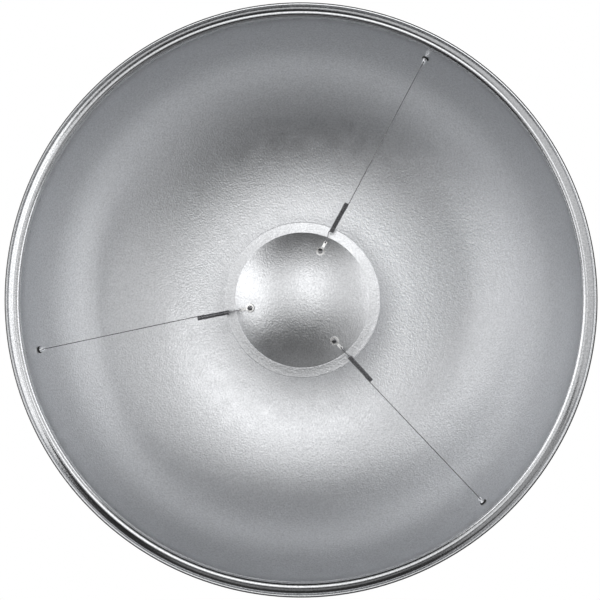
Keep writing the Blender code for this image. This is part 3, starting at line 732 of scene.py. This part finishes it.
def sprung_wire(index, places, steel):
    """One length of music wire: hook, long leg, close-wound coil, short leg, hook."""
    line = (places["anchor"] - places["hole"]).normalized()
    side = BACK.cross(line).normalized()
    coil_at = axes_at(places["hole"] + line * COIL_START, line, side)

    def on_coil(turn, height):
        angle = math.radians(turn)
        return coil_at @ Vector((COIL_MEAN * math.cos(angle), COIL_MEAN * math.sin(angle), height))

    post_across = side.cross(places["post"]).normalized()
    outer = hook(places["anchor"], places["post"], post_across, POST_HOOK)
    outer += [places["anchor"] - line * HOOK_BLEND]
    outer += [on_coil(0, COIL_LENGTH + LEG_LEAVE), on_coil(0, COIL_LENGTH + LEG_BEND)]
    inner_turn = INNER_LEG_TURNS[index]
    inner = hook(places["hole"], line, BACK, LUG_HOOK)
    inner += [on_coil(inner_turn, -INNER_LEG_LEAVE), on_coil(inner_turn, -LEG_BEND)]
    whole_turns = round(COIL_LENGTH / COIL_PITCH)
    total = 360 * whole_turns + inner_turn
    count = whole_turns * COIL_POINTS
    helix = [
        on_coil(total * i / count, COIL_LENGTH * (1 - i / count)) for i in range(count + 1)
    ]
    points = through(outer, HOOK_SMOOTHING) + helix + through(inner, HOOK_SMOOTHING)[::-1]
    return finished(
        f"sprung_wire_{index + 1}", swept(points, WIRE_RADIUS, WIRE_ROUNDNESS), Matrix.Identity(4),
        steel, f"wire_{index + 1}", [f"spring_wire_{index + 1}"], sharp=WIRE_SHARP,
    )


def stud(index, places, zinc, seat_rubber_and_painted_shade):
    """Turned stud with a flattened, cross-drilled tip, on a thin black seat washer that also stands in
    for the shade round its foot: partly painted shade.
    """
    n = index + 1
    foot = places["anchor"] - places["post"] * POST_REACH
    at = axes_at(foot, places["post"], places["post"].cross(places["tail"].cross(BACK)))
    tip = POST_REACH + STUD_TIP
    flange, seat, flange_end = STUD_FLANGE
    stem, stem_length = STUD_STEM
    edge = STUD_EDGE
    profile = rod(
        *((STUD_SHANK * share, tip - drop) for share, drop in STUD_NOSE),
        (STUD_SHANK, flange_end + edge), (STUD_SHANK + edge, flange_end),
        (flange - edge, flange_end), (flange, flange_end - edge), (flange, seat + edge),
        (flange - edge, seat), (stem, seat), (stem, -stem_length + edge),
        (stem - edge, -stem_length),
    )
    wide, long, deep = STUD_TOOL
    bore = lathe(rod((STUD_HOLE, wide), (STUD_HOLE, -wide)), STUD_BORE_SIDES, closed=False)
    bore_at = Matrix.Translation((0, 0, POST_REACH)) @ Matrix.Rotation(math.pi / 2, 4, "Y")
    steps = [("DIFFERENCE", tool(bore, bore_at))]
    for sign in (-1, 1):
        block = [(-deep, -wide), (deep, -wide), (deep, wide), (-deep, wide)]
        shift = (sign * (STUD_FLAT + deep), 0, POST_REACH - STUD_FLAT_START)
        flat = loft(block, block, 0, long)
        steps.append(("DIFFERENCE", tool(flat, Matrix.Translation(shift))))
    body = carved(lathe(profile, FASTENER_STEPS, closed=False), steps)
    finished(f"stud_{n}", body, at, zinc, "dish", [f"anchor_post_{n}"])
    # black seat washer showing round the flange: partly painted shade
    ring = [(stem + SEAT_PLAY, 0), (STUD_SEAT - edge, 0), (STUD_SEAT, edge),
            (STUD_SEAT, seat - edge), (STUD_SEAT - edge, seat), (stem + SEAT_PLAY, seat)]
    finished(
        f"stud_seat_and_painted_shade_{n}", lathe(ring, FASTENER_STEPS, closed=True), at, seat_rubber_and_painted_shade, "dish",
    )
    out_at = axes_at(foot - places["post"] * (SHEET + GAP), -places["post"], BACK)
    washer(f"stud_washer_{n}", out_at, zinc, "dish", f"anchor_washer_{n}")
    nut_at = out_at @ Matrix.Translation((0, 0, M3["washer_height"] + GAP))
    nut(f"stud_nut_{n}", nut_at, zinc, "dish", f"anchor_nut_{n}")


# Fasteners -----------------------------------------------------------------------------------


def cross_recess(reach, depth):
    """A tapered cross, for a screw's recess, with its mouth on local Z = 0."""
    half = reach * RECESS_WIDTH

    def cross(long, short):
        quarter = [(long, -short), (long, short), (short, short)]
        points = []
        for k in range(4):
            c, s = round(math.cos(k * math.pi / 2)), round(math.sin(k * math.pi / 2))
            points += [(x * c - y * s, x * s + y * c) for x, y in quarter]
        return points

    foot = cross(reach * RECESS_FOOT[0], half * RECESS_FOOT[1])
    mouth = cross(reach * RECESS_MOUTH[0], half * RECESS_MOUTH[1])
    return loft(foot, mouth, -depth, RECESS_PROUD)


def pan_screw(name, at, size, length, mat, body, node_name):
    """Pan-head screw with a cross recess. Its head stands on local Z = 0."""
    head, height, thread = size["head"], size["height"], size["thread"]
    shoulder = PAN_SIDE[0][1]
    crown = [
        (head * math.sin(t), height * (shoulder + PAN_CROWN * math.cos(t))) for t in PAN_CROWN_TURNS
    ]
    side = [(head * across, height * up) for across, up in PAN_SIDE]
    profile = rod(
        (head * PAN_TOP, height), *crown, *side, (thread, 0), (thread, -length + THREAD_CHAMFER),
        (thread - THREAD_CHAMFER, -length),
    )
    cut = cross_recess(size["recess"], height * RECESS_DEPTHS[0])
    recess = tool(cut, Matrix.Translation((0, 0, height)))
    bm = carved(lathe(profile, FASTENER_STEPS, closed=False), [("DIFFERENCE", recess)])
    return finished(name, bm, at, mat, body, [node_name])


def sunk_screw(name, at, size, length, mat, body, node_name):
    """Countersunk screw with a cross recess, head face on local Z = 0."""
    head, thread = size["head"], size["thread"]
    edge, rim = SUNK_EDGE
    profile = rod(
        (head - edge, 0), (head, -edge), (head, -rim), (thread, -size["sunk"]), (thread, -length),
    )
    recess = tool(cross_recess(size["recess"], size["sunk"] * RECESS_DEPTHS[1]))
    bm = carved(lathe(profile, FASTENER_STEPS, closed=False), [("DIFFERENCE", recess)])
    return finished(name, bm, at, mat, body, [node_name])


def washer(name, at, mat, body, node_name):
    """A flat washer with softened edges, standing on local Z = 0."""
    outer, inner, height, edge = M3["washer"], M3["thread"] + GAP, M3["washer_height"], WASHER_EDGE
    profile = [
        (inner, edge), (inner + edge, 0), (outer - edge, 0), (outer, edge),
        (outer, height - edge), (outer - edge, height), (inner + edge, height), (inner, height - edge),
    ]
    bm = lathe(profile, FASTENER_STEPS, closed=True)
    return finished(name, bm, at, mat, body, [node_name])


def nut(name, at, mat, body, node_name):
    """A hexagon nut with chamfered corners and a countersunk bore, standing on local Z = 0."""
    corner, height, bore = M3["nut"], M3["nut_height"], M3["thread"] + NUT_PLAY
    near, far, drop = NUT_CHAMFER
    inset, reach, sink = corner * near, corner * far, NUT_SINK
    ring = [
        (bore + sink, 0), (inset, 0), (reach, drop), (reach, height - drop),
        (inset, height), (bore + sink, height), (bore, height - sink), (bore, sink),
    ]
    hexagon = polygon(corner, 6)
    prism = tool(loft(hexagon, hexagon, -NUT_TOOL_OVERRUN, height + NUT_TOOL_OVERRUN))
    bm = carved(lathe(ring, FASTENER_STEPS, closed=True), [("INTERSECT", prism)])
    return finished(name, bm, at, mat, body, [node_name])


# Mount ---------------------------------------------------------------------------------------

CLAMP_FRONT_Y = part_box("throat_ring")[0].y
COLLAR_FRONT_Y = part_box("mount_collar")[0].y
COLLAR_REAR_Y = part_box("mount_collar")[1].y


def clamp_ring(silver):
    inner, outer, thick = CLAMP_RING
    low, edge = CLAMP_FRONT_Y, CLAMP_EDGE
    profile = [(outer, low + thick), (outer, low + edge)]
    profile += [(outer - edge + edge * math.cos(t), low + edge - edge * math.sin(t))
                for t in CLAMP_EDGE_TURNS]
    profile += [(outer - edge, low), (inner + edge / 2, low), (inner, low + edge / 2),
                (inner, low + thick)]
    return finished(
        "clamp_ring", lathe(profile, RING_STEPS, closed=True), LATHE_TO_Y, silver, "dish",
        ["throat_ring"],
    )


def collar(black):
    """A channel-section ring behind the bowl, open toward the axis."""
    web, edge = COLLAR_OUTER - COLLAR_WEB, COLLAR_EDGE
    cut = edge * COLLAR_EDGE_CUT
    front_back = COLLAR_FRONT_Y + COLLAR_WEB
    rear_front = COLLAR_REAR_Y - COLLAR_REAR_FLANGE
    front_bore, rear_bore = COLLAR_BORES
    profile = [
        (COLLAR_OUTER - edge, COLLAR_REAR_Y), (COLLAR_OUTER - cut, COLLAR_REAR_Y - cut),
        (COLLAR_OUTER, COLLAR_REAR_Y - edge), (COLLAR_OUTER, COLLAR_FRONT_Y + edge),
        (COLLAR_OUTER - cut, COLLAR_FRONT_Y + cut),
        (COLLAR_OUTER - edge, COLLAR_FRONT_Y), (front_bore, COLLAR_FRONT_Y),
        (front_bore, front_back), (web - edge, front_back), (web, front_back + edge),
        (web, rear_front - edge), (web - edge, rear_front), (rear_bore, rear_front),
        (rear_bore, COLLAR_REAR_Y),
    ]
    return finished(
        "collar_ring", lathe(profile, RING_STEPS, closed=True), LATHE_TO_Y, black, "dish",
        ["mount_collar"],
    )


def bayonet(zinc):
    """Flat seating flange, a spigot, and three lugs round the spigot's end."""
    edge = BAYONET_EDGE
    profile = [
        (COLLAR_OUTER - edge, 0), (COLLAR_OUTER, -edge), (COLLAR_OUTER, -SEAT_THICKNESS),
        (THROAT_RADIUS, -SEAT_THICKNESS), (THROAT_RADIUS, SPIGOT_LENGTH - edge),
        (THROAT_RADIUS + edge, SPIGOT_LENGTH), (SPIGOT_RADIUS - edge, SPIGOT_LENGTH),
        (SPIGOT_RADIUS, SPIGOT_LENGTH - edge), (SPIGOT_RADIUS, 0),
    ]
    reach, wide, front, rear = BAYONET_LUG
    steps = []
    for angle in BAYONET_ANGLES:
        turns = [
            math.radians(angle + wide * (i / BAYONET_LUG_STEPS - 0.5))
            for i in range(BAYONET_LUG_STEPS + 1)
        ]
        root = (THROAT_RADIUS + SPIGOT_RADIUS) / 2
        outline = [(reach * math.cos(t), -reach * math.sin(t)) for t in turns]
        outline += [(root * math.cos(t), -root * math.sin(t)) for t in reversed(turns)]
        steps.append(("UNION", tool(loft(outline, outline, front, rear))))
    inset, sink_length = SEAT_SINK
    for angle in SEAT_SCREW_ANGLES:
        sink = lathe(
            rod((M4["head"] + GAP, GAP), (M4["head"] + GAP, 0), (M4["thread"] + GAP, -M4["sunk"]),
                (M4["thread"] + GAP, -sink_length)),
            FASTENER_STEPS, closed=False,
        )
        place = Matrix.Rotation(math.radians(-angle), 4, "Z") @ Matrix.Translation(
            (SEAT_SCREW_CIRCLE, 0, -inset))
        steps.append(("DIFFERENCE", tool(sink, place)))
    bm = carved(lathe(profile, RING_STEPS, closed=True), steps)
    return finished(
        "bayonet_flange", bm, LATHE_TO_Y, zinc, "dish", ["bayonet_ring"],
    )


def mount(silver, black, zinc):
    """Clamp ring, collar and bayonet with their screws."""
    clamp_ring(silver)
    collar(black)
    bayonet(zinc)
    for i, angle in enumerate(CLAMP_SCREW_ANGLES):
        place = radial(angle) * CLAMP_SCREW_CIRCLE + BACK * CLAMP_FRONT_Y
        at = axes_at(place, -BACK, radial(angle + CLAMP_SCREW_TURN * i))
        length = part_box(f"throat_screw_{i + 1}")[1].y - CLAMP_FRONT_Y
        pan_screw(f"clamp_screw_{i + 1}", at, M4, length, zinc, "dish", f"throat_screw_{i + 1}")
    for i, angle in enumerate(SEAT_SCREW_ANGLES):
        face_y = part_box(f"bayonet_screw_{i + 1}")[1].y
        place = radial(angle) * SEAT_SCREW_CIRCLE + BACK * face_y
        at = axes_at(place, BACK, radial(angle + SEAT_SCREW_TURN * i))
        length = face_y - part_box(f"bayonet_screw_{i + 1}")[0].y
        sunk_screw(f"seat_screw_{i + 1}", at, M4, length, zinc, "dish", f"bayonet_screw_{i + 1}")


def hang(zinc, tin, steel, nickel, black_rubber_and_painted_shade):
    """Lugs, wires and studs with their fasteners."""
    for i in range(len(LUG_ANGLES)):
        places = suspension(i)
        n = i + 1
        solder_lug(i, places, tin)
        head_at = axes_at(
            places["centre"] + places["normal"] * LUG_SHEET / 2, places["normal"],
            radial(LUG_ANGLES[i] + LUG_SCREW_TURN * i),
        )
        under = LUG_SHEET + SHEET + 3 * GAP
        length = under + M3["washer_height"] + M3["nut_height"] + LUG_SCREW_END
        pan_screw(f"dome_screw_{n}", head_at, M3, length, nickel, "deflector_body", f"lug_screw_{n}")
        washer_at = head_at @ Matrix.Translation((0, 0, -under - M3["washer_height"]))
        washer(f"dome_washer_{n}", washer_at, zinc, "deflector_body", f"lug_washer_{n}")
        nut_at = washer_at @ Matrix.Translation((0, 0, -GAP - M3["nut_height"]))
        nut(f"dome_nut_{n}", nut_at, zinc, "deflector_body", f"lug_nut_{n}")
        sprung_wire(i, places, steel)
        stud(i, places, zinc, black_rubber_and_painted_shade)


# Stage ---------------------------------------------------------------------------------------

CAMERA_DISTANCE = 2.5
CAMERA_AZIMUTH = 5.0  # degrees toward +X of the dish's axis
CAMERA_AIM = Vector((1.9 * MM, RIM_Y, 0))
VIEW_WIDTH = 0.5626  # metres across the picture at the rim
SENSOR = 36.0

# Softboxes: azimuth toward +X and elevation of their centres as the dish sees them, distance,
# width, height and radiance.
SOFTBOXES = {
    "front_wall": (10.0, 13.0, 3.2, 7.4, 3.8, 0.57),
    "key": (3.0, 14.0, 3.0, 1.33, 1.28, 0.98),
    "left": (-50.0, 2.0, 2.4, 1.06, 2.1, 1.22),
    "far_left": (-75.0, 22.0, 2.4, 1.1, 2.3, 1.70),
    "far_right": (75.0, 12.0, 2.4, 1.1, 3.4, 1.66),
    "floor_bounce": (10.0, -62.0, 2.4, 3.0, 1.1, 0.16),
    "low_right": (52.0, -33.0, 2.4, 1.9, 1.1, 0.33),
    "back_left": (-140.0, 25.0, 2.6, 1.6, 2.2, 0.90),
    "back_right": (140.0, 25.0, 2.6, 1.6, 2.2, 0.90),
}
ROOM_BLEND = (-0.25, 0.35)  # where along Y the first level ends and the second starts
ROOM_LEVELS = (0.035, 0.12)  # light from the unlit room, ahead of the dish and behind it
FLOOR_LEVEL = -0.50
FLOOR_RADIUS_SHOWN = 1.6
FLOOR_SIDES = 96
FLOOR_TONES = ((0.86, 0.86, 0.86), (0.9, 0.9, 0.9))
FLOOR_MOTTLE = 3.0
FLOOR_ROUGHNESS = 0.8
FLOOR_FADE = (0.45, 0.95)  # shares of its radius between which it fades out
FLOOR_GLOW = 0.42  # keeps the floor pale where the softboxes, aimed at the dish, miss it


def look(obj, origin, target):
    obj.location = origin
    obj.rotation_euler = (target - origin).to_track_quat("-Z", "Y").to_euler()


def toward_viewer(azimuth, elevation):
    """The direction from the dish at an azimuth from -Y toward +X and an elevation."""
    a, e = math.radians(azimuth), math.radians(elevation)
    return Vector((math.sin(a) * math.cos(e), -math.cos(a) * math.cos(e), math.sin(e)))


def add_camera():
    data = bpy.data.cameras.new("camera")
    data.sensor_width = SENSOR
    data.lens = SENSOR * CAMERA_DISTANCE / VIEW_WIDTH
    camera = bpy.data.objects.new("camera", data)
    bpy.context.scene.collection.objects.link(camera)
    look(camera, CAMERA_AIM + toward_viewer(CAMERA_AZIMUTH, 0) * CAMERA_DISTANCE, CAMERA_AIM)
    bpy.context.scene.camera = camera


def add_lights():
    centre = Vector((0, RIM_Y / 2, 0))
    for name, (azimuth, elevation, distance, width, height, radiance) in SOFTBOXES.items():
        data = bpy.data.lights.new(name, "AREA")
        data.shape = "RECTANGLE"
        data.size = width
        data.size_y = height
        data.energy = radiance * 4 * width * height
        box = bpy.data.objects.new(name, data)
        bpy.context.scene.collection.objects.link(box)
        look(box, centre + toward_viewer(azimuth, elevation) * distance, centre)
        box.visible_camera = False


def add_world():
    """White behind the dish for the camera; a dim room in front of it for reflections."""
    world = bpy.data.worlds.new("studio")
    world.use_nodes = True
    bpy.context.scene.world = world
    tree = world.node_tree
    output = tree.nodes["World Output"]
    plain = tree.nodes["Background"]
    plain.inputs["Color"].default_value = (1, 1, 1, 1)
    place = node(tree, "ShaderNodeTexCoord").outputs["Generated"]
    across = node(tree, "ShaderNodeSeparateXYZ", {"Vector": place}).outputs["Y"]
    level = between(tree, across, *ROOM_LEVELS, *ROOM_BLEND)
    room = node(tree, "ShaderNodeBackground", {"Strength": level})
    seen = node(tree, "ShaderNodeLightPath").outputs["Is Camera Ray"]
    mixed = node(tree, "ShaderNodeMixShader", {"Fac": seen, 1: room.outputs[0], 2: plain.outputs[0]})
    tree.links.new(mixed.outputs[0], output.inputs["Surface"])


def add_floor():
    """A pale round floor that fades out into the white room."""
    bm = bmesh.new()
    bmesh.ops.create_circle(bm, cap_ends=True, segments=FLOOR_SIDES, radius=FLOOR_RADIUS_SHOWN)
    mesh = bpy.data.meshes.new("floor")
    bm.to_mesh(mesh)
    bm.free()
    mesh.transform(Matrix.Translation((0, RIM_Y, FLOOR_LEVEL)))
    mat = bpy.data.materials.new("pale_floor")
    mat.use_nodes = True
    tree = mat.node_tree
    shader = tree.nodes["Principled BSDF"]
    place = node(tree, "ShaderNodeTexCoord").outputs["Object"]
    colour = tint(tree, between(tree, noise(tree, place, FLOOR_MOTTLE), 0, 1), *FLOOR_TONES)
    tree.links.new(colour, shader.inputs["Base Color"])
    shader.inputs["Roughness"].default_value = FLOOR_ROUGHNESS
    shader.inputs["Emission Color"].default_value = (1, 1, 1, 1)
    shader.inputs["Emission Strength"].default_value = FLOOR_GLOW
    middle = (0, RIM_Y, FLOOR_LEVEL)
    reach = node(tree, "ShaderNodeVectorMath", {0: place, 1: middle}, operation="DISTANCE")
    start, end = (FLOOR_RADIUS_SHOWN * share for share in FLOOR_FADE)
    fade = between(tree, reach.outputs["Value"], 1, 0, start, end)
    tree.links.new(fade, shader.inputs["Alpha"])
    mesh.materials.append(mat)
    floor = bpy.data.objects.new("floor", mesh)
    bpy.context.scene.collection.objects.link(floor)
    floor.visible_glossy = False
    floor.visible_diffuse = False


def build():
    silver, black, zinc = silver_satin(), plain("black_coat"), plain("zinc_plate")
    add_camera()
    add_lights()
    add_world()
    add_floor()
    bowl(silver, black)
    dome_sheet(silver)
    hang(zinc, plain("tin_plate"), plain("music_wire"), plain("nickel_dark"), plain("rubber_and_painted_shade"))
    mount(silver, black, zinc)
    for i in range(len(CLAMP_SCREW_ANGLES)):
        kept = frame["nodes"][f"throat_nut_{i + 1}"]
        kept.data.materials.clear()
        kept.data.materials.append(zinc)
    bpy.context.scene.view_settings.view_transform = "Standard"


build()
